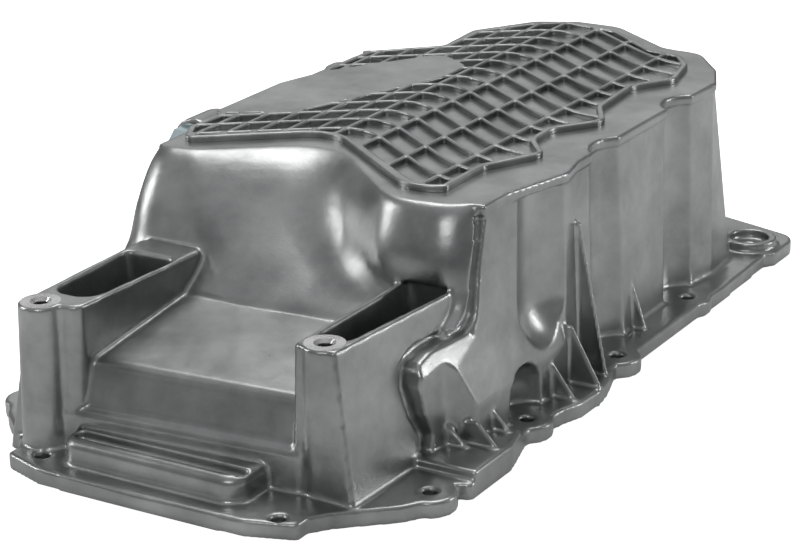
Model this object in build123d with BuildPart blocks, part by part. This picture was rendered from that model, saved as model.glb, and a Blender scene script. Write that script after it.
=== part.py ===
from build123d import *
import os

# Cast aluminium oil pan of a V engine with its drain plug and sealing washer.
# The flange face lies on z = 0 and the closed bottom of the sump points up, +Z.
# +Y runs from the shallow end with its two posts to the deep end, +X to the right.

# ---- overall sizes ----
pan_length = 472.0
pan_width = 250.0
flange_thickness = 8.0
sump_depth = 113.0
post_height = 76.5
wall = 5.0
rib_height = 3.0

front = -pan_length / 2
back = pan_length / 2
side = pan_width / 2

# ---- bolts of the rail, M6 with clearance ----
bolt_hole = 7.0
lobe_radius = 12.5
front_bolt_run = 66.0
back_bolt_run = 41.0
bolt_insets = (14.0, 15.0, 14.0, 18.0, 23.0)
bolt_pitch = (pan_length - front_bolt_run - back_bolt_run) / (len(bolt_insets) - 1)
bolt_rows = [front + front_bolt_run + bolt_pitch * row for row in range(len(bolt_insets))]
side_bolts = [(side - inset, y) for inset, y in zip(bolt_insets, bolt_rows)]
row_a, row_b, row_c, row_d, row_e = bolt_rows
front_bolts = [(-(side - 62.0), front + 15.0), (side - 57.0, front + 11.0)]
back_bolts = [(side - 75.0, back - 14.0)]
corner_pad_height = 13.0
corner_pad_radius = 15.0
spot_face = 10.5
seat_plate_height = 12.5
seat_plate_run = (18.0, 70.0)

# ---- posts at the shallow end ----
post_radius = 10.4
post_base_radius = 12.8
left_post = (-(side - 54.3), front + 30.0)
right_post = (side - 54.3, front + 47.5)
post_thread = 6.8
post_thread_depth = 28.0
post_mouth = 10.0

# ---- shallow end: bar, step and shelf ----
step_left = left_post[0] + 12.7
step_right = right_post[0] - 8.7
bar_height = 20.0
bar_slot_x = -1.5
bar_slot_run = 21.0
bar_slot_length = 93.0
bar_slot_width = 7.0
bar_slot_depth = 4.5
ledge_height = 27.5
step_height = 49.0
shelf_height = 61.0
shelf_skew = 9.0

# ---- troughs behind the posts ----
trough_floor = 35.0
trough_wall = 3.0

# ---- sump ----
rim_overhang = 1.6
rim_thickness = 5.0
front_wall = front + 105.0
notch_floor = step_height - 2.0
brow_radius = 12.0
brow_top = sump_depth + 0.6
cove_radius = 12.0
shelf_slope = (shelf_height - step_height) / 81
shelf_line = front + 118
wall_foot_level = step_height + 17
notch_levels = (
    notch_floor, shelf_height, shelf_height + 5, shelf_height + cove_radius,
    brow_top - brow_radius, brow_top - 4, brow_top,
)

# Plan of the sump as (x at the foot, y at the foot, x at the top, y at the top, corner radius)
sump_plan = (
    (side - 27, front + 106, side - 33, front + 106, 4),
    (side - 24, row_b + 12, side - 31, row_b + 8, 26),
    (side - 18, row_c - 44, side - 20, row_c - 40, 3),
    (side - 19, row_c - 26, side - 24, row_c - 22, 6),
    (side - 22, row_c + 48, side - 25, row_c + 46, 20),
    (side - 22, row_d + 16, side - 24, row_d + 20, 10),
    (side - 19, row_d + 36, side - 23, row_d + 42, 10),
    (side - 19, row_d + 62, side - 34, row_d + 66, 6),
    (side - 36, back - 38, side - 55, back - 40, 12),
    (side - 76, back - 36, side - 78, back - 38, 16),
    (10, back - 8, 5, back - 8, 14),
    (-22, back - 6, -22, back - 7, 12),
    (-(side - 73), back - 16, -(side - 80), back - 18, 10),
    (-(side - 50), back - 44, -(side - 58), back - 52, 8),
    (-(side - 46), back - 88, -(side - 60), back - 86, 8),
    (-(side - 40), back - 108, -(side - 54), back - 106, 8),
    (-(side - 23), back - 118, -(side - 25), back - 118, 5),
    (-(side - 23), back - 155, -(side - 25), back - 155, 5),
    (-(side - 25), back - 169, -(side - 31), back - 169, 5),
    (-(side - 24), front + 106, -(side - 30), front + 106, 4),
)


def inset(points, amount):
    """Move each straight side of a counter-clockwise outline inwards by the amount."""
    moved = []
    for i, corner in enumerate(points):
        before = Vector(*points[i - 1])
        here = Vector(*corner)
        after = Vector(*points[(i + 1) % len(points)])
        along_in = (here - before).normalized()
        along_out = (after - here).normalized()
        normal_in = Vector(-along_in.Y, along_in.X)
        normal_out = Vector(-along_out.Y, along_out.X)
        bisector = (normal_in + normal_out).normalized()
        shift = bisector * (amount / bisector.dot(normal_in))
        moved.append((here.X + shift.X, here.Y + shift.Y))
    return moved


def rounded_face(points, radii, plane):
    """A closed outline with a radius at each corner."""
    with BuildSketch(plane, mode=Mode.PRIVATE) as outline:
        with BuildLine():
            FilletPolyline(*points, radius=radii, close=True)
        make_face()
    return outline.sketch


def tapered_block(low_points, high_points, radii, low, high):
    """A solid between two outlines that have the same corners."""
    with BuildPart(mode=Mode.PRIVATE) as block:
        add(rounded_face(low_points, radii, Plane.XY.offset(low)))
        add(rounded_face(high_points, radii, Plane.XY.offset(high)))
        loft(ruled=True)
    return block.part


def on_both_sides(x, y):
    return [(x, y), (-x, y)]


# ---- flange ----
rail = (
    (0, front, 0),
    (side - 70, front + 1, 30),
    (side - 46, front + 9, 3),
    (side - 46, front + 17, 3),
    (side - 39, front + 26, 8),
    (side - 16, row_a - 20, 10),
    (side - 8, row_a - 8, 6),
    (side - 8, row_a + 12, 2),
    (side - 1, row_a + 14, 2),
    (side - 1, row_a + 52, 10),
    (side - 8, row_b - 14, 10),
    (side - 5, row_b + 16, 8),
    (side - 1, row_b + 28, 4),
    (side, row_b + 46, 5),
    (side - 2, row_b + 58, 5),
    (side - 8, row_c - 14, 12),
    (side - 8, row_d - 14, 8),
    (side - 7, row_d + 20, 10),
    (side - 9, row_e - 12, 4),
    (side - 5, row_e - 6, 4),
    (side - 5, row_e + 24, 14),
    (side - 60, back, 30),
    (0, back, 0),
)
with BuildSketch(mode=Mode.PRIVATE) as flange_outline:
    with BuildLine():
        FilletPolyline(*[(x, y) for x, y, _ in rail], radius=[r for _, _, r in rail][1:-1])
        Line(rail[-1][:2], rail[0][:2])
    make_face()
    mirror(about=Plane.YZ)
    for x, y in side_bolts:
        with Locations(*on_both_sides(x, y)):
            Circle(lobe_radius)

# ---- sump: outside and cavity ----
foot_plan = [(foot_x, foot_y) for foot_x, foot_y, _, _, _ in sump_plan]
top_plan = [(top_x, top_y) for _, _, top_x, top_y, _ in sump_plan]
corner_radii = [radius for _, _, _, _, radius in sump_plan]

# Scallops that give a socket wrench room over each bolt: (x, y, radius, height)
scallops = (
    (side - 17, row_a - 2, 16.5, 26),
    (side - 15, row_b + 4, 15.0, 18),
    (side - 12, row_c + 8, 21.0, 0),
    (side - 17, row_d, 17.5, 0),
)


def scallop_cutters(growth):
    """Upright round cutters; the low ones end in a dome, the others run right through."""
    with BuildPart(mode=Mode.PRIVATE) as cutters:
        for x, y, radius, height in scallops:
            size = radius + growth
            for place in on_both_sides(x, y):
                if height:
                    with Locations((*place, 0)):
                        Cylinder(size, height, align=(Align.CENTER, Align.CENTER, Align.MIN))
                    with Locations((*place, height)):
                        Sphere(size)
                else:
                    with Locations((*place, -1)):
                        Cylinder(size, 2 * sump_depth, align=(Align.CENTER, Align.CENTER, Align.MIN))
    return cutters.part


# Foot and top line of the sloping front wall, as (x, run back from its foremost line, radius).
# Both lines turn back along the side walls, which gives the two round upright corners.
wall_foot = (
    (-side - 5, 68, 0), (-(side - 19), 62, 0), (-(side - 23), 14, 28), (-31, 12, 60), (16, 17, 40),
    (side - 65, 20, 40), (side - 27, 20, 18), (side - 24, 50, 0), (side + 5, 52, 0),
)
wall_top = (
    (-side - 5, 76, 0), (-(side - 25), 72, 0), (-(side - 26), 39, 14), (-72, 45, 20), (-14, 84, 34),
    (side - 76, 26, 30), (side - 35, 30, 20), (side - 31, 58, 0), (side + 5, 60, 0),
)


def roll(radius, distance):
    """How far a rounded edge of this radius stands back at a distance from its start."""
    if distance >= radius:
        return 0
    return radius - (radius ** 2 - (radius - distance) ** 2) ** 0.5


def wall_line(height):
    """The front wall's line at a height, as (x, y, radius) at each bend."""
    share = max(height - wall_foot_level, 0) / (sump_depth - wall_foot_level)
    shift = front_wall + roll(brow_radius, brow_top - height)
    shift -= roll(cove_radius, max(height - shelf_height, 0))
    return [
        (foot_x + (top_x - foot_x) * share, foot_run + (top_run - foot_run) * share + shift,
         foot_radius + (top_radius - foot_radius) * share)
        for (foot_x, foot_run, foot_radius), (top_x, top_run, top_radius) in zip(wall_foot, wall_top)
    ]


def front_notch(step_back, drop):
    """The space in front of the sump's front wall, with the wall's rounded foot and top edge.

    The lowest outlines lie in the sloping shelf, so that the foot's cove runs out along it.
    """
    with BuildPart(mode=Mode.PRIVATE) as notch:
        for height in notch_levels:
            tilt = shelf_slope * max(1 - max(height - shelf_height, 0) / cove_radius, 0)
            level = Plane((0, shelf_line, height - drop), x_dir=(1, 0, 0), z_dir=(0, -tilt, 1))
            line = [(x, y + step_back - shelf_line) for x, y, _ in wall_line(height)]
            mouth = front - 10 - shelf_line
            with BuildSketch(level):
                with BuildLine():
                    FilletPolyline(*line, radius=[radius for _, _, radius in wall_line(height)][1:-1])
                    Polyline(line[-1], (side + 20, mouth), (-side - 20, mouth), line[0])
                make_face()
        loft()
    return notch.part


# ---- shallow end: profile across the step, as (run back from the front edge, height) ----
step_profile = (
    (26, 0), (27, ledge_height), (31, ledge_height), (37, step_height),
    (190, step_height + 153 * shelf_slope),
)
# The ledge's corners are rounded by this, and by less in the hollow of a thicker wall
ledge_radius = 3.0
ledge_room = 8.0


def shallow_step(amount):
    """The stepped body between the troughs, or its hollow when an amount is given."""
    def profile(x, skew):
        points = [(front + y + skew, z) for y, z in step_profile]
        points = points + [(front + 190 + skew, -20), (front + 26 + skew, -20)]
        turned = list(reversed(points))
        ledge_round = min(ledge_radius, ledge_room - amount)
        radii = [2, 2, 8, 5, ledge_round, ledge_round, 2]
        with BuildSketch(Plane.YZ.offset(x), mode=Mode.PRIVATE) as outline:
            with BuildLine():
                FilletPolyline(*inset(turned, amount), radius=radii, close=True)
            make_face()
        return outline.sketch
    with BuildPart(mode=Mode.PRIVATE) as step:
        add(profile(step_left + amount, 0))
        add(profile(step_right - amount, shelf_skew))
        loft(ruled=True)
        split(bisect_by=Plane.XY, keep=Keep.TOP)
    return step.part


def front_bar(amount):
    """The rounded bar along the front of the shallow end, or its hollow."""
    length = 100 - 2 * amount
    width = 34 - 2 * amount
    with BuildPart(mode=Mode.PRIVATE) as bar:
        with BuildSketch():
            with Locations((-2, front + 10 + 17)):
                RectangleRounded(length, width, 11 - amount)
        extrude(amount=bar_height - amount, taper=3)
        fillet(bar.faces().sort_by(Axis.Z)[-1].edges(), 4)
    return bar.part


# ---- troughs: (x and y of the four corners at the foot, then at the top) ----
left_foot = (
    (-(side - 31), front + 28), (step_left + 9, front + 26),
    (step_left + 12, front + 128), (-(side - 27), front + 128),
)
left_top = (
    (-(side - 46), front + 30), (step_left + 8, front + 30),
    (step_left + 12, front + 122), (-(side - 44), front + 122),
)
right_foot = (
    (step_right - 4, front + 36), (side - 32, front + 33),
    (side - 30, front + 150), (step_right - 4, front + 150),
)
right_top = (
    (step_right - 3, front + 40), (side - 44, front + 39),
    (side - 36, front + 150), (step_right - 3, front + 150),
)
left_radii = [3, 6, 3, 3]
right_radii = [3, 1.5, 3, 3]
pocket_shift = (10, 10, -14, -14)
pocket_draft = 4.0


def trough_pocket(top_corners, growth):
    """The open pocket of a trough, with a round front end; grown, it keeps the cavity's wall."""
    mouth = [(x, y + shift) for (x, y), shift in zip(inset(top_corners, trough_wall - growth), pocket_shift)]
    floor = inset(mouth, pocket_draft)
    width = mouth[1][0] - mouth[0][0]
    radii = [width * 0.44, width * 0.44, 4, 4]
    with BuildPart(mode=Mode.PRIVATE) as pocket:
        add(rounded_face(floor, [radius - 3.5 for radius in radii], Plane.XY.offset(trough_floor - growth)))
        add(rounded_face(mouth, radii, Plane.XY.offset(post_height + 1)))
        loft(ruled=True)
    return pocket.part


def gusset(y, foot_x, top_x, top_z):
    """A thin upright triangle between the flange and the wall."""
    with BuildPart(mode=Mode.PRIVATE) as web:
        with BuildSketch(Plane.XZ.offset(-y)):
            with BuildLine():
                Polyline(
                    (foot_x, 0), (foot_x, flange_thickness + 1), (top_x, top_z),
                    (top_x - gusset_root, top_z - 4), (top_x - gusset_root, 0), close=True,
                )
            make_face()
        extrude(amount=gusset_thickness / 2, both=True)
    return web.part


gusset_thickness = 2.4
gusset_root = 14.0
gussets = (
    (row_a + 39, side - 12, side - 29, 24),
    (row_a + 45, side - 1, side - 15, 24),
    (row_a + 64, side - 5, side - 19, 24),
    (row_b + 30, side - 5, side - 17, 25),
    (row_b + 49, side - 1, side - 17, 38),
    (row_c - 26, side - 6, side - 21, 84),
    (row_c + 38, side - 16, side - 25, 36),
)

# ---- lattice on the bottom of the sump ----
rib_width = 2.4
rib_pitch = 18.0
bead_width = 3.2
wide_bays = (side - 68.2, side - 97, side - 125)
narrow_bay = 12.2
narrow_gap = 22.0
bead_line = (
    (-(side - 41), front + 163, 4), (-25, front + 207, 22), (53, front + 147, 22), (69, front + 156, 3),
    (69, front + 192, 8), (83, front + 220, 8), (83, row_c - 24, 6), (70, row_c - 8, 12), (69, row_c + 12, 12),
    (86, row_c + 36, 10), (73, row_c + 58, 14), (70, row_d + 8, 12), (84, row_d + 30, 10), (77, row_d + 60, 8),
    (66, back - 58, 6), (46, back - 54, 10), (12, back - 26, 12), (-22, back - 20, 12), (-40, back - 34, 10),
    (-58, back - 60, 6), (-58, back - 98, 8), (-(side - 35), back - 128, 6), (-(side - 32), front + 180, 8),
)
plateau_line = (
    (-(side - 28), front + 204, 4), (-60, front + 226, 20), (-26, front + 316, 12), (-26, front + 342, 8),
    (-50, front + 358, 10), (-(side - 37), front + 300, 14), (-(side - 28), front + 268, 8),
)
wave = ((-(side - 30), front + 164, 0), (-15, front + 221, 24), (64, front + 162, 90), (side, front + 162, 0))


def outline_sketch(line, plane):
    with BuildSketch(plane, mode=Mode.PRIVATE) as outline:
        with BuildLine():
            FilletPolyline(*[(x, y) for x, y, _ in line], radius=[r for _, _, r in line], close=True)
        make_face()
    return outline.sketch


def lattice():
    """Longitudinal ribs crossed by parallel wavy ribs, inside the border bead."""
    floor = Plane.XY.offset(sump_depth - 1)
    columns = list(wide_bays) + [wide_bays[-1] - narrow_gap - narrow_bay * step for step in range(6)]
    rows = range(-1, int(pan_length / rib_pitch))
    with BuildPart(mode=Mode.PRIVATE) as ribs:
        with BuildSketch(floor):
            with Locations(*[(x, 0) for x in columns]):
                Rectangle(rib_width, pan_length)
            for row in rows:
                with BuildLine() as ripple:
                    path = [(x, y + rib_pitch * row) for x, y, _ in wave]
                    FilletPolyline(*path, radius=[r for _, _, r in wave][1:-1])
                trace(ripple.line, line_width=rib_width)
            add(outline_sketch(bead_line, floor), mode=Mode.INTERSECT)
        extrude(amount=rib_height + 1)
    return ribs.part


# ---- rim plate ----
rim_front = front + 156.0


def rim_plate():
    """The plate edge that stands proud of the wall all round behind the front wall."""
    with BuildPart(mode=Mode.PRIVATE) as plate:
        with BuildSketch(Plane.XY.offset(sump_depth)):
            add(rounded_face(top_plan, corner_radii, Plane.XY))
            for x, y, radius, height in scallops:
                if not height:
                    with Locations(*on_both_sides(x, y)):
                        Circle(radius - rim_overhang, mode=Mode.SUBTRACT)
            with Locations((0, rim_front - pan_length / 2)):
                Rectangle(2 * pan_width, pan_length, mode=Mode.SUBTRACT)
        extrude(amount=-rim_thickness)
    return plate.part


# ---- raised panel of the right wall: it stands proud behind a groove and flares out at its foot ----
panel_line = ((80, 108), (74, 88), (65, 60), (33, 60), (19, 57), (17, 46), (21, 31), (27, 21), (22, 0))
panel_radii = (6, 10, 8, 8, 5, 8, 5)
panel_end = 150.0
panel_section = (
    (side - 50, 0, 0), (side - 17.5, 0, 0), (side - 17.5, 29, 8), (side - 27, 56, 22), (side - 30, 84, 30),
    (side - 30.5, sump_depth, 0), (side - 50, sump_depth, 0),
)
panel_plan = (
    (side - 50, 0, 0), (side - 29.5, 0, 0), (side - 28, 56, 8), (side - 17, 68, 8), (side - 17, 156, 3),
    (side - 50, 156, 0),
)
# The sloping face of the panel's nose passes through these three points
nose_face = (
    Vector(side - 36, row_a + 10, 60), Vector(side - 15.5, row_a + 10, 30),
    Vector(side - 27, row_a + 75, 58),
)
nose_end = row_a + 64
panel_groove = 3.4
groove_start = side - 46.0
groove_depth = 3.0
flute_radius = 25.0
flute_axis = (side - 7, row_a + 120)
flute_foot = 55.0


def panel_outline():
    return [(row_a + run, height) for run, height in panel_line]


def nose_slope():
    """What the sloping face takes off the panel's nose."""
    top, foot, rear = nose_face
    with BuildPart(mode=Mode.PRIVATE) as cutter:
        with BuildSketch(Plane(top, x_dir=(0, 1, 0), z_dir=(foot - top).cross(rear - top))):
            Rectangle(pan_width, pan_width)
        extrude(amount=side)
        split(bisect_by=Plane.XZ.offset(-nose_end), keep=Keep.TOP)
    return cutter.part


def panel():
    """The common part of the panel's side view, its cross section and its plan."""
    with BuildPart(mode=Mode.PRIVATE) as block:
        with BuildSketch(Plane.YZ):
            with BuildLine():
                edge = panel_outline()
                FilletPolyline(*edge, radius=panel_radii)
                end = (row_a + panel_end, 0)
                Polyline(edge[-1], end, (end[0], sump_depth), (edge[0][0], sump_depth), edge[0])
            make_face()
        extrude(amount=side)
        with BuildSketch(Plane.XZ.offset(side - back)):
            add(outline_sketch(panel_section, Plane.XZ.offset(side - back)))
        extrude(amount=pan_length, both=True, mode=Mode.INTERSECT)
        with BuildSketch():
            with Locations((0, row_a - 18)):
                add(outline_sketch(panel_plan, Plane.XY))
        extrude(amount=sump_depth, mode=Mode.INTERSECT)
        add(nose_slope(), mode=Mode.SUBTRACT)
        add(scallop_cutters(0), mode=Mode.SUBTRACT)
        add(flute(0), mode=Mode.SUBTRACT)
    return block.part


def groove_band():
    """A band along the panel's front edge, through the right side wall."""
    with BuildPart(mode=Mode.PRIVATE) as band:
        with BuildSketch(Plane.YZ.offset(groove_start)):
            with BuildLine() as edge:
                FilletPolyline(*panel_outline(), radius=panel_radii)
            trace(edge.line, line_width=panel_groove)
        extrude(amount=pan_width)
    return band.part


def flute(growth):
    """The tall round hollow of the right wall, with a round foot."""
    with BuildPart(mode=Mode.PRIVATE) as cutter:
        with Locations((*flute_axis, flute_foot)):
            Cylinder(flute_radius + growth, sump_depth, align=(Align.CENTER, Align.CENTER, Align.MIN))
            Sphere(flute_radius + growth)
    return cutter.part


# ---- drain boss with its plug and washer, on the left wall ----
drain_x = -(side - 19.5)
drain_z = sump_depth - 12.5
boss_radius = 12.0
boss_face = row_b + 43
boss_length = 20.0
plug_radius = 7.0
plug_clearance = 0.15
plug_shank = 14.0
plug_tip = 1.2
passage_radius = 4.0
passage_length = 22.0
washer_radius = 9.6
washer_thickness = 1.6
plug_flange_radius = 10.0
plug_flange = 2.0
hexagon = 17.0
hexagon_height = 6.0
along_y = Plane((drain_x, boss_face, drain_z), x_dir=(1, 0, 0), z_dir=(0, -1, 0))
bore_end = boss_face + plug_shank + 2 * passage_radius + 1
across = Plane((drain_x, bore_end - passage_radius, drain_z), x_dir=(0, 1, 0), z_dir=(1, 0, 0))

# ---- solids that the pan is put together from ----
sump_foot = inset(foot_plan, rim_overhang)
sump_top = inset(top_plan, rim_overhang)
sump_body = tapered_block(sump_foot, sump_top, corner_radii, 0, sump_depth)
left_trough = tapered_block(left_foot, left_top, left_radii, 0, post_height)
right_trough = tapered_block(right_foot, right_top, right_radii, 0, post_height)
pockets = [trough_pocket(left_top, 0), trough_pocket(right_top, 0)]
webs = [gusset(*web) for web in gussets]
wall_panel = panel()
raised_rim = rim_plate()
notch = front_notch(0, 0)
step_body = shallow_step(0)
bar_body = front_bar(0)
ribs = lattice()
bead_face = outline_sketch(bead_line, Plane.XY.offset(sump_depth - 1))
plateau_face = outline_sketch(plateau_line, Plane.XY.offset(sump_depth - 1))

# What the groove leaves standing: the walls, less the groove's depth
with BuildPart() as groove_core:
    deep = rim_overhang + groove_depth
    add(tapered_block(inset(foot_plan, deep), inset(top_plan, deep), corner_radii, 0, sump_depth))
    add(front_notch(groove_depth, 0), mode=Mode.SUBTRACT)
    low, high = inset(right_foot, groove_depth), inset(right_top, groove_depth)
    add(tapered_block(low, high, right_radii, 0, post_height))

with BuildPart() as groove:
    add(groove_band())
    add(groove_core.part, mode=Mode.SUBTRACT)

# The hollow of the sump, one wall thickness inside everything around it
with BuildPart() as sump_cavity:
    deep = rim_overhang + wall
    add(tapered_block(inset(foot_plan, deep), inset(top_plan, deep), corner_radii, -1, sump_depth - wall))
    add(front_notch(wall * 1.5, wall), mode=Mode.SUBTRACT)
    add(scallop_cutters(wall), mode=Mode.SUBTRACT)
    add(flute(wall), mode=Mode.SUBTRACT)
    add(trough_pocket(left_top, wall), mode=Mode.SUBTRACT)
    add(trough_pocket(right_top, wall), mode=Mode.SUBTRACT)

with BuildPart() as oil_pan:
    add(sump_body)
    add(scallop_cutters(0), mode=Mode.SUBTRACT)
    add(flute(0), mode=Mode.SUBTRACT)
    add(raised_rim)
    add(notch, mode=Mode.SUBTRACT)
    add(wall_panel)
    add(step_body)
    add(bar_body)
    add(left_trough)
    add(right_trough)
    with Locations(left_post, right_post):
        Cone(post_base_radius, post_radius, post_height, align=(Align.CENTER, Align.CENTER, Align.MIN))
    add(pockets, mode=Mode.SUBTRACT)
    add(groove.part, mode=Mode.SUBTRACT)
    # slot in the top of the front bar
    with BuildSketch(Plane.XY.offset(bar_height)):
        with Locations((bar_slot_x, front + bar_slot_run)):
            SlotOverall(bar_slot_length, bar_slot_width)
    extrude(amount=-bar_slot_depth, mode=Mode.SUBTRACT)
    # flange, raised seat plate on the right and thick pads at the far corners
    with BuildSketch():
        add(flange_outline.sketch)
    extrude(amount=flange_thickness)
    with BuildSketch():
        add(flange_outline.sketch)
        with Locations((side - 10, row_a + sum(seat_plate_run) / 2)):
            Rectangle(46, seat_plate_run[1] - seat_plate_run[0], mode=Mode.INTERSECT)
    extrude(amount=seat_plate_height)
    with BuildSketch():
        with Locations(*on_both_sides(*side_bolts[-1])):
            Circle(corner_pad_radius)
    extrude(amount=corner_pad_height)
    add(webs)
    # drain boss: a cylinder lying along the left wall, closed by a dome
    with BuildSketch(along_y):
        Circle(boss_radius)
    extrude(amount=-boss_length)
    with Locations((drain_x, boss_face + boss_length, drain_z)):
        Sphere(boss_radius)
    # hollows of the sump, the step and the bar
    add(sump_cavity.part, mode=Mode.SUBTRACT)
    add(shallow_step(wall), mode=Mode.SUBTRACT)
    add(front_bar(wall), mode=Mode.SUBTRACT)
    # lattice, its bead and the smooth plateau on the closed bottom
    add(ribs)
    with BuildSketch(Plane.XY.offset(sump_depth - 1)):
        add(bead_face)
        offset(bead_face, amount=-bead_width, mode=Mode.SUBTRACT)
    extrude(amount=rib_height + 1)
    with BuildSketch(Plane.XY.offset(sump_depth - 1)):
        add(plateau_face)
    extrude(amount=rib_height + 1)
    # bolt holes
    holes = [(x * turn, y) for x, y in side_bolts + back_bolts for turn in (-1, 1)] + front_bolts
    with Locations((0, 0, flange_thickness)):
        with Locations(*holes):
            Hole(bolt_hole / 2, 2 * flange_thickness)
    with Locations(*[(x, y, corner_pad_height) for x, y in on_both_sides(*side_bolts[-1])]):
        CounterBoreHole(bolt_hole / 2, spot_face, corner_pad_height - flange_thickness)
    # threaded holes of the posts, with a chamfered mouth
    with Locations(*[(x, y, post_height) for x, y in (left_post, right_post)]):
        CounterSinkHole(post_thread / 2, post_mouth / 2, post_thread_depth, 90)
    # drain bore, and its passage into the sump
    with BuildSketch(along_y):
        Circle(plug_radius + plug_clearance)
    extrude(amount=boss_face - bore_end, mode=Mode.SUBTRACT)
    with BuildSketch(across):
        Circle(passage_radius)
    extrude(amount=passage_length, mode=Mode.SUBTRACT)

with BuildPart() as drain_washer:
    with BuildSketch(along_y):
        Circle(washer_radius)
        Circle(plug_radius + plug_clearance, mode=Mode.SUBTRACT)
    extrude(amount=washer_thickness)

with BuildPart() as drain_plug:
    with BuildSketch(along_y.offset(washer_thickness)):
        Circle(plug_flange_radius)
    extrude(amount=plug_flange)
    with BuildSketch(along_y.offset(washer_thickness + plug_flange)):
        RegularPolygon(hexagon / 2, 6, major_radius=False)
    extrude(amount=hexagon_height)
    with BuildSketch(along_y.offset(washer_thickness)):
        Circle(plug_radius)
    extrude(amount=-plug_shank)
    chamfer(drain_plug.faces().sort_by(Axis.Y)[-1].edges(), plug_tip)

os.makedirs("parts", exist_ok=True)

oil_pan.part.label = "oil_pan"
export_step(oil_pan.part, "parts/oil_pan.step")

drain_washer.part.label = "drain_washer"
export_step(drain_washer.part, "parts/drain_washer.step")

drain_plug.part.label = "drain_plug"
export_step(drain_plug.part, "parts/drain_plug.step")
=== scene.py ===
import math

import bpy
from mathutils import Matrix, Vector


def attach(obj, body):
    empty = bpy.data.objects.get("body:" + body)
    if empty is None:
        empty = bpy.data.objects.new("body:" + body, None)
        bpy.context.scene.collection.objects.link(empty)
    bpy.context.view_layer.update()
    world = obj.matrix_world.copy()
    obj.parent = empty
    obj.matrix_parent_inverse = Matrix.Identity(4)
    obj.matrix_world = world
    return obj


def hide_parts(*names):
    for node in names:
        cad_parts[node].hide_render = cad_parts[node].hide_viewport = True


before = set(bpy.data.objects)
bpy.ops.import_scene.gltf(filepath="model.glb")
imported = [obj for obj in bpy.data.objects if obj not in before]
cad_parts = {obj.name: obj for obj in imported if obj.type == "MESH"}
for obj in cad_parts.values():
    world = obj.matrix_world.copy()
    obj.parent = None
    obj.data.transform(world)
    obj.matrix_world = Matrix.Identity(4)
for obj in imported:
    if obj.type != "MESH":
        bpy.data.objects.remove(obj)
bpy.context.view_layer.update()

# Cast aluminium oil pan, lying on its flange with the closed bottom up.
# z = 0 is the flange's face, +Y runs to the deep end, +X to the right.
# The scene is in metres; the sizes of the pan below are in millimetres and take MM.

MM = 0.001

# ---- post tops and their threads ----
POSTS = ((-70.7, -206.0), (70.7, -188.5))
POST_TOP = 76.5
POST_FACE_RADIUS = 9.3
POST_MOUTH_RADIUS = 5.0
FACE_PROUD = 0.04
THREAD_BORE = 4.7
THREAD_MAJOR = 4.0
THREAD_MINOR = 3.35
THREAD_PITCH = 1.25
THREAD_TURNS = 14
THREAD_FLAT = (0.45, 0.55)
MOUTH_DEPTH = 1.0
LINER_WALL = 0.4
LINER_RIM = 0.5
LINER_CORNERS = 56
LINER_CREASE = math.radians(25)
# Depths below the post top over which the thread darkens: painted shade inside the hole.
THREAD_SHADE_START = 1.2
THREAD_SHADE_FULL = 2.6
POST_HOLE_FLOOR = 47.0

# ---- hollow under the front bar ----
BAR_HOLLOW_MIDDLE = -2.0
BAR_HOLLOW_HALF = 47.0
BAR_HOLLOW_RUN = (-222.5, -195.5)
BAR_HOLLOW_ROOF = (10.5, 15.2)
BAR_HOLLOW_DROP = 3.0

# ---- lattice, and how the casting is softened ----
LATTICE_LEVEL = 113.0
LATTICE_LIFT = 0.03
LATTICE_SINK = 0.8
LATTICE_VOXEL = 0.55
CASTING_VOXEL = 1.05
CASTING_TRIANGLES = 190000
CASTING_PASSES = 5
LATTICE_PASSES = 3
SMOOTH_FACTOR = 0.5
# Corners closer than this are one: in the frame's loose triangles, then at a cut and in a thread.
MERGE_DISTANCE = 0.01
FINE_DISTANCE = 0.001

# ---- surface of the casting: texture scales per metre, and how far each one acts ----
CLOUD_SCALE = 26.0
SMEAR_SCALE = 95.0
GRAIN_SCALE = 900.0
STAIN_FROM, STAIN_FULL = 0.35, 0.72
STAIN_SHARE = 0.85
ROUGHNESS_SWAY = 0.09
PIT_DEPTH = 0.00012

# ---- turned faces of the posts, and the painted shade in their thread holes ----
TURNED_BRIGHT = (0.70, 0.70, 0.69, 1)
# Colour of the painted shade deep in the thread hole.
THREAD_PAINTED_SHADE = (0.05, 0.05, 0.052, 1)
TURNED_ROUGHNESS = 0.27
RING_SCALE = 900.0
RING_STRENGTH = 0.25
RING_DEPTH = 0.00006


# ---------------------------------------------------------------- helpers
def deselect():
    bpy.ops.object.select_all(action="DESELECT")


def only(obj):
    deselect()
    obj.select_set(True)
    bpy.context.view_layer.objects.active = obj


def apply_modifier(obj, kind, name, **values):
    only(obj)
    modifier = obj.modifiers.new(name, kind)
    for key, value in values.items():
        setattr(modifier, key, value)
    bpy.ops.object.modifier_apply(modifier=name)


def node(tree, kind, **inputs):
    made = tree.nodes.new(kind)
    for key, value in inputs.items():
        made.inputs[key.replace("_", " ")].default_value = value
    return made


def link(tree, source, target):
    tree.links.new(source, target)


# ---------------------------------------------------------------- shared shader groups
def new_group(name, inputs, outputs):
    tree = bpy.data.node_groups.new(name, "ShaderNodeTree")
    for label, kind, value in inputs:
        socket = tree.interface.new_socket(label, in_out="INPUT", socket_type=kind)
        if value is not None:
            socket.default_value = value
    for label, kind in outputs:
        tree.interface.new_socket(label, in_out="OUTPUT", socket_type=kind)
    return tree, tree.nodes.new("NodeGroupInput"), tree.nodes.new("NodeGroupOutput")


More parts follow.
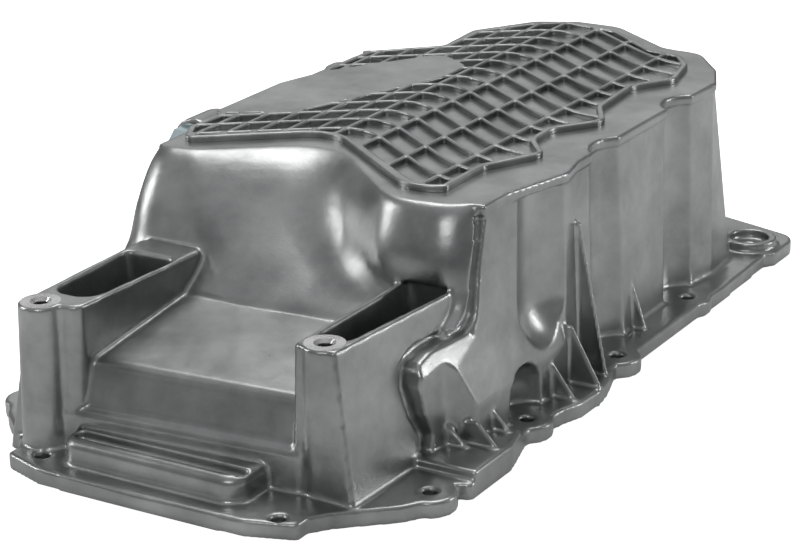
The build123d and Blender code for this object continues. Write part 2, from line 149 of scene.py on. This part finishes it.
def cast_skin_group():
    """Mottled tone, roughness and fine pitting of a die-cast surface."""
    tree, start, end = new_group(
        "cast_skin",
        (("Tone", "NodeSocketColor", (0.5, 0.5, 0.5, 1)), ("Stain", "NodeSocketColor", (0.3, 0.3, 0.3, 1)),
         ("Roughness", "NodeSocketFloat", 0.36), ("Pitting", "NodeSocketFloat", 0.3)),
        (("Color", "NodeSocketColor"), ("Roughness", "NodeSocketFloat"), ("Normal", "NodeSocketVector")),
    )
    place = tree.nodes.new("ShaderNodeTexCoord").outputs["Object"]
    clouds = node(tree, "ShaderNodeTexNoise", Scale=CLOUD_SCALE, Detail=5.0, Roughness=0.62)
    smears = node(tree, "ShaderNodeTexNoise", Scale=SMEAR_SCALE, Detail=4.0, Roughness=0.6)
    grain = node(tree, "ShaderNodeTexNoise", Scale=GRAIN_SCALE, Detail=3.0, Roughness=0.6)
    for texture in (clouds, smears, grain):
        link(tree, place, texture.inputs["Vector"])
    spread = node(tree, "ShaderNodeMapRange")
    spread.inputs["From Min"].default_value = STAIN_FROM
    spread.inputs["From Max"].default_value = STAIN_FULL
    spread.inputs["To Max"].default_value = STAIN_SHARE
    link(tree, clouds.outputs["Fac"], spread.inputs["Value"])
    tint = tree.nodes.new("ShaderNodeMix")
    tint.data_type = "RGBA"
    link(tree, spread.outputs["Result"], tint.inputs["Factor"])
    link(tree, start.outputs["Tone"], tint.inputs["A"])
    link(tree, start.outputs["Stain"], tint.inputs["B"])
    link(tree, tint.outputs["Result"], end.inputs["Color"])
    sway = tree.nodes.new("ShaderNodeMapRange")
    sway.inputs["To Min"].default_value = -ROUGHNESS_SWAY
    sway.inputs["To Max"].default_value = ROUGHNESS_SWAY
    link(tree, smears.outputs["Fac"], sway.inputs["Value"])
    total = tree.nodes.new("ShaderNodeMath")
    total.operation = "ADD"
    link(tree, start.outputs["Roughness"], total.inputs[0])
    link(tree, sway.outputs["Result"], total.inputs[1])
    link(tree, total.outputs["Value"], end.inputs["Roughness"])
    relief = tree.nodes.new("ShaderNodeMath")
    relief.operation = "ADD"
    link(tree, grain.outputs["Fac"], relief.inputs[0])
    link(tree, smears.outputs["Fac"], relief.inputs[1])
    bump = node(tree, "ShaderNodeBump", Distance=PIT_DEPTH)
    link(tree, relief.outputs["Value"], bump.inputs["Height"])
    link(tree, start.outputs["Pitting"], bump.inputs["Strength"])
    link(tree, bump.outputs["Normal"], end.inputs["Normal"])
    return tree


CAST_SKIN = cast_skin_group()


def cast_material(name, tone, stain, roughness, pitting):
    material = bpy.data.materials.new(name)
    material.use_nodes = True
    tree = material.node_tree
    shader = tree.nodes["Principled BSDF"]
    shader.inputs["Metallic"].default_value = 1.0
    skin = tree.nodes.new("ShaderNodeGroup")
    skin.node_tree = CAST_SKIN
    skin.inputs["Tone"].default_value = (*tone, 1)
    skin.inputs["Stain"].default_value = (*stain, 1)
    skin.inputs["Roughness"].default_value = roughness
    skin.inputs["Pitting"].default_value = pitting
    link(tree, skin.outputs["Color"], shader.inputs["Base Color"])
    link(tree, skin.outputs["Roughness"], shader.inputs["Roughness"])
    link(tree, skin.outputs["Normal"], shader.inputs["Normal"])
    return material


def turned_material(name, x, y):
    """Bright turned metal with fine rings round a post's axis; the thread below goes dark with depth, as
    painted shade in the hole.
    """
    material = bpy.data.materials.new(name)
    material.use_nodes = True
    tree = material.node_tree
    shader = tree.nodes["Principled BSDF"]
    shader.inputs["Metallic"].default_value = 1.0
    shader.inputs["Roughness"].default_value = TURNED_ROUGHNESS
    place = tree.nodes.new("ShaderNodeTexCoord").outputs["Object"]
    split = tree.nodes.new("ShaderNodeSeparateXYZ")
    # Painted shade: the colour goes from the bright face to the dark thread colour deeper in the hole.
    shade_by_depth = node(tree, "ShaderNodeMapRange")
    shade_by_depth.inputs["From Min"].default_value = (POST_TOP - THREAD_SHADE_FULL) * MM
    shade_by_depth.inputs["From Max"].default_value = (POST_TOP - THREAD_SHADE_START) * MM
    tint = tree.nodes.new("ShaderNodeMix")
    tint.data_type = "RGBA"
    tint.inputs["A"].default_value = THREAD_PAINTED_SHADE
    tint.inputs["B"].default_value = TURNED_BRIGHT
    link(tree, place, split.inputs["Vector"])
    link(tree, split.outputs["Z"], shade_by_depth.inputs["Value"])
    link(tree, shade_by_depth.outputs["Result"], tint.inputs["Factor"])
    link(tree, tint.outputs["Result"], shader.inputs["Base Color"])
    centre = tree.nodes.new("ShaderNodeMapping")
    centre.inputs["Location"].default_value = (-x * MM, -y * MM, 0)
    rings = node(tree, "ShaderNodeTexWave", Scale=RING_SCALE, Distortion=0.4)
    rings.wave_type = "RINGS"
    rings.rings_direction = "Z"
    bump = node(tree, "ShaderNodeBump", Strength=RING_STRENGTH, Distance=RING_DEPTH)
    link(tree, place, centre.inputs["Vector"])
    link(tree, centre.outputs["Vector"], rings.inputs["Vector"])
    link(tree, rings.outputs["Fac"], bump.inputs["Height"])
    link(tree, bump.outputs["Normal"], shader.inputs["Normal"])
    return material


CAST = cast_material("cast_aluminium", (0.45, 0.46, 0.455), (0.22, 0.225, 0.225), 0.32, 0.45)
ZINC = cast_material("zinc_plate", (0.56, 0.66, 0.68), (0.45, 0.53, 0.56), 0.34, 0.15)
WASHER = cast_material("washer_aluminium", (0.68, 0.68, 0.67), (0.55, 0.55, 0.54), 0.3, 0.1)


# ---------------------------------------------------------------- casting
def copy_of_pan(name):
    """A merged copy of the pan's mesh, free of the frame's marks."""
    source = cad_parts["oil_pan"]
    piece = source.copy()
    piece.data = source.data.copy()
    piece.name = name
    piece.parent = None
    for key in list(piece.keys()):
        del piece[key]
    bpy.context.scene.collection.objects.link(piece)
    only(piece)
    bpy.ops.object.mode_set(mode="EDIT")
    bpy.ops.mesh.select_all(action="SELECT")
    bpy.ops.mesh.remove_doubles(threshold=MERGE_DISTANCE * MM)
    bpy.ops.object.mode_set(mode="OBJECT")
    piece.data.materials.clear()
    piece.data.materials.append(CAST)
    return piece


def cut_level(piece, level, keep_below, sink):
    """Cuts the piece at a level, closes the cut, and sinks the closing faces by an amount."""
    only(piece)
    bpy.ops.object.mode_set(mode="EDIT")
    bpy.ops.mesh.select_mode(type="EDGE")
    bpy.ops.mesh.select_all(action="SELECT")
    bpy.ops.mesh.bisect(
        plane_co=(0, 0, level), plane_no=(0, 0, 1), clear_outer=keep_below, clear_inner=not keep_below,
        threshold=FINE_DISTANCE * MM,
    )
    if sink:
        bpy.ops.mesh.extrude_edges_move(TRANSFORM_OT_translate={"value": (0, 0, -sink)})
    bpy.ops.mesh.fill(use_beauty=False)
    bpy.ops.mesh.select_all(action="SELECT")
    bpy.ops.mesh.normals_make_consistent(inside=False)
    bpy.ops.mesh.select_mode(type="VERT")
    bpy.ops.object.mode_set(mode="OBJECT")


def open_post_holes(piece):
    """Widens the threaded holes, which the thread liners then fill."""
    for vertex in piece.data.vertices:
        for x, y in POSTS:
            away = Vector((vertex.co.x - x * MM, vertex.co.y - y * MM))
            if 0 < away.length < THREAD_BORE * MM and vertex.co.z > POST_HOLE_FLOOR * MM:
                away *= THREAD_BORE * MM / away.length
                vertex.co.x, vertex.co.y = x * MM + away.x, y * MM + away.y


def deepen_bar_hollow(piece):
    """Lowers the roof of the hollow under the front bar, which leaves the bar's slot a solid floor."""
    for vertex in piece.data.vertices:
        x, y, z = vertex.co / MM
        in_plan = abs(x - BAR_HOLLOW_MIDDLE) < BAR_HOLLOW_HALF and BAR_HOLLOW_RUN[0] < y < BAR_HOLLOW_RUN[1]
        if in_plan and BAR_HOLLOW_ROOF[0] < z < BAR_HOLLOW_ROOF[1]:
            vertex.co.z -= BAR_HOLLOW_DROP * MM


def soften(piece, voxel, passes, limit):
    """Turns crisp edges and corners into small rounds, as they come out of the die."""
    apply_modifier(piece, "REMESH", "skin", mode="VOXEL", voxel_size=voxel * MM)
    apply_modifier(piece, "SMOOTH", "soften", factor=SMOOTH_FACTOR, iterations=passes)
    triangles = sum(len(face.vertices) - 2 for face in piece.data.polygons)
    if triangles > limit:
        apply_modifier(piece, "DECIMATE", "thin", ratio=limit / triangles)
    only(piece)
    bpy.ops.object.shade_smooth()


coarse = 1

casting = copy_of_pan("pan_casting")
lattice = copy_of_pan("pan_lattice")

cut_level(casting, (LATTICE_LEVEL + LATTICE_LIFT) * MM, True, 0)
open_post_holes(casting)
deepen_bar_hollow(casting)
soften(casting, CASTING_VOXEL * coarse, CASTING_PASSES, CASTING_TRIANGLES)
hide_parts("oil_pan")

cut_level(lattice, (LATTICE_LEVEL + LATTICE_LIFT) * MM, False, LATTICE_SINK * MM)
soften(lattice, LATTICE_VOXEL * coarse, LATTICE_PASSES, CASTING_TRIANGLES)

for piece in (casting, lattice):
    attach(piece, "root")


# ---------------------------------------------------------------- machined post tops with their threads
def post_liner(name, x, y, material):
    """A turned face, a chamfered mouth and the thread below it, drawn out of one circle ring by ring."""
    top = POST_TOP + FACE_PROUD
    foot = top - MOUTH_DEPTH
    profile = [(POST_FACE_RADIUS, top), (POST_MOUTH_RADIUS, top), (THREAD_MAJOR, foot)]
    for turn in range(THREAD_TURNS):
        level = foot - THREAD_PITCH * turn
        profile += [(THREAD_MINOR, level - THREAD_PITCH * share) for share in THREAD_FLAT]
        profile += [(THREAD_MAJOR, level - THREAD_PITCH)]
    outside = THREAD_BORE + LINER_WALL
    profile += [(outside, profile[-1][1]), (outside, top - LINER_RIM), (POST_FACE_RADIUS, top - LINER_RIM)]
    profile += [profile[0]]
    deselect()
    bpy.ops.mesh.primitive_circle_add(
        vertices=LINER_CORNERS, radius=POST_FACE_RADIUS * MM, fill_type="NOTHING",
        location=(x * MM, y * MM, top * MM),
    )
    liner = bpy.context.object
    liner.name = name
    bpy.ops.object.transform_apply(location=True, rotation=False, scale=False)
    bpy.ops.object.mode_set(mode="EDIT")
    bpy.ops.mesh.select_all(action="SELECT")
    for (radius, level), (next_radius, next_level) in zip(profile, profile[1:]):
        bpy.ops.mesh.extrude_edges_move(TRANSFORM_OT_translate={"value": (0, 0, (next_level - level) * MM)})
        grow = next_radius / radius
        bpy.ops.transform.resize(value=(grow, grow, 1), center_override=(x * MM, y * MM, 0))
    bpy.ops.mesh.select_all(action="SELECT")
    bpy.ops.mesh.remove_doubles(threshold=FINE_DISTANCE * MM)
    bpy.ops.mesh.normals_make_consistent(inside=False)
    bpy.ops.object.mode_set(mode="OBJECT")
    liner.data.materials.append(material)
    bpy.ops.object.shade_smooth_by_angle(angle=LINER_CREASE)
    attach(liner, "root")


for side, (x, y) in zip(("left", "right"), POSTS):
    post_liner("post_thread_" + side, x, y, turned_material("turned_face_" + side, x, y))

for name, material in (("drain_plug", ZINC), ("drain_washer", WASHER)):
    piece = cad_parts[name]
    for slot in piece.material_slots:
        slot.material = material

# ---------------------------------------------------------------- camera
FOCAL = 2549.48
FRAME_WIDTH = 800
SENSOR_WIDTH = 36
VIEW_AZIMUTH = math.radians(31.433)
VIEW_PITCH = math.radians(19.994)
VIEW_ROLL = math.radians(1.128)
VIEW_PLACE = Vector((631.53, -1042.96, 477.50)) * MM


def make_camera():
    camera_data = bpy.data.cameras.new("camera")
    camera_data.sensor_width = SENSOR_WIDTH
    camera_data.lens = FOCAL * SENSOR_WIDTH / FRAME_WIDTH
    camera = bpy.data.objects.new("camera", camera_data)
    bpy.context.scene.collection.objects.link(camera)
    forward = Vector((
        -math.sin(VIEW_AZIMUTH) * math.cos(VIEW_PITCH),
        math.cos(VIEW_AZIMUTH) * math.cos(VIEW_PITCH),
        -math.sin(VIEW_PITCH),
    ))
    right = Vector((math.cos(VIEW_AZIMUTH), math.sin(VIEW_AZIMUTH), 0))
    down = forward.cross(right)
    turned_right = math.cos(VIEW_ROLL) * right + math.sin(VIEW_ROLL) * down
    turned_down = -math.sin(VIEW_ROLL) * right + math.cos(VIEW_ROLL) * down
    turn = Matrix((turned_right, -turned_down, -forward)).transposed()
    camera.matrix_world = Matrix.Translation(VIEW_PLACE) @ turn.to_4x4()
    bpy.context.scene.camera = camera


make_camera()

# ---------------------------------------------------------------- studio
FLOOR_HALF = 4.0
FLOOR_DROP = 0.0002
FLOOR_TONE = (0.8, 0.8, 0.8, 1)
FLOOR_ROUGHNESS = 0.9
WHITE = (1, 1, 1, 1)
GLOW_SEEN = 0.9
GLOW_IN_METAL = 0.05

# The room that the metal mirrors, from straight down to straight up: (place on the ramp, level)
ROOM_LEVELS = ((0.0, 0.10), (0.49, 0.09), (0.56, 0.16), (0.68, 0.34), (0.80, 0.16), (1.0, 0.50))
ROOM_BLUE = 1.02


def make_floor():
    bpy.ops.mesh.primitive_plane_add(size=2 * FLOOR_HALF, location=(0, 0, -FLOOR_DROP))
    floor = bpy.context.object
    floor.name = "floor"
    material = bpy.data.materials.new("floor_paper")
    material.use_nodes = True
    tree = material.node_tree
    shader = tree.nodes["Principled BSDF"]
    shader.inputs["Base Color"].default_value = FLOOR_TONE
    shader.inputs["Roughness"].default_value = FLOOR_ROUGHNESS
    shader.inputs["Emission Color"].default_value = WHITE
    rays = tree.nodes.new("ShaderNodeLightPath")
    glow = tree.nodes.new("ShaderNodeMath")
    glow.operation = "MULTIPLY"
    glow.inputs[1].default_value = GLOW_SEEN
    link(tree, rays.outputs["Is Camera Ray"], glow.inputs[0])
    mirrored = tree.nodes.new("ShaderNodeMath")
    mirrored.operation = "MULTIPLY_ADD"
    mirrored.inputs[1].default_value = GLOW_IN_METAL
    link(tree, rays.outputs["Is Glossy Ray"], mirrored.inputs[0])
    link(tree, glow.outputs["Value"], mirrored.inputs[2])
    link(tree, mirrored.outputs["Value"], shader.inputs["Emission Strength"])
    floor.data.materials.append(material)


def make_world():
    world = bpy.data.worlds.new("studio")
    bpy.context.scene.world = world
    world.use_nodes = True
    tree = world.node_tree
    tree.nodes.clear()
    place = tree.nodes.new("ShaderNodeTexCoord")
    split = tree.nodes.new("ShaderNodeSeparateXYZ")
    ramp = tree.nodes.new("ShaderNodeValToRGB")
    lift = tree.nodes.new("ShaderNodeMapRange")
    lift.inputs["From Min"].default_value = -1
    link(tree, place.outputs["Generated"], split.inputs["Vector"])
    link(tree, split.outputs["Z"], lift.inputs["Value"])
    link(tree, lift.outputs["Result"], ramp.inputs["Fac"])
    while len(ramp.color_ramp.elements) < len(ROOM_LEVELS):
        ramp.color_ramp.elements.new(0.5)
    for element, (position, level) in zip(ramp.color_ramp.elements, ROOM_LEVELS):
        element.position = position
        element.color = (level, level, level * ROOM_BLUE, 1)
    around = tree.nodes.new("ShaderNodeBackground")
    link(tree, ramp.outputs["Color"], around.inputs["Color"])
    seen = tree.nodes.new("ShaderNodeBackground")
    seen.inputs["Color"].default_value = WHITE
    rays = tree.nodes.new("ShaderNodeLightPath")
    mix = tree.nodes.new("ShaderNodeMixShader")
    link(tree, rays.outputs["Is Camera Ray"], mix.inputs["Fac"])
    link(tree, around.outputs["Background"], mix.inputs[1])
    link(tree, seen.outputs["Background"], mix.inputs[2])
    out = tree.nodes.new("ShaderNodeOutputWorld")
    link(tree, mix.outputs["Shader"], out.inputs["Surface"])


# Soft boxes: (name, place, the point each faces, width, height, power)
SOFT_BOXES = (
    ("back_box", (-0.85, 1.45, 0.72), (0, 0, 0.11), 1.5, 0.6, 1.4),
    ("top_box", (-0.25, 0.45, 1.15), (0, 0, 0.08), 0.8, 0.5, 4.5),
    ("left_box", (-1.2, -0.55, 0.65), (0, -0.1, 0.06), 0.16, 0.8, 3.5),
    ("right_strip", (1.15, 0.75, 0.5), (0.1, 0, 0.05), 0.12, 0.8, 3.5),
    ("front_box", (0.35, -1.3, 1.05), (0, -0.15, 0.06), 0.7, 0.14, 3.0),
)


def make_lights():
    for name, place, aim, width, height, power in SOFT_BOXES:
        lamp = bpy.data.lights.new(name, "AREA")
        lamp.shape = "RECTANGLE"
        lamp.size, lamp.size_y, lamp.energy = width, height, power
        box = bpy.data.objects.new(name, lamp)
        bpy.context.scene.collection.objects.link(box)
        box.location = place
        box.rotation_euler = (Vector(aim) - Vector(place)).to_track_quat("-Z", "Y").to_euler()


make_floor()
make_world()
make_lights()
bpy.context.scene.view_settings.view_transform = "Standard"
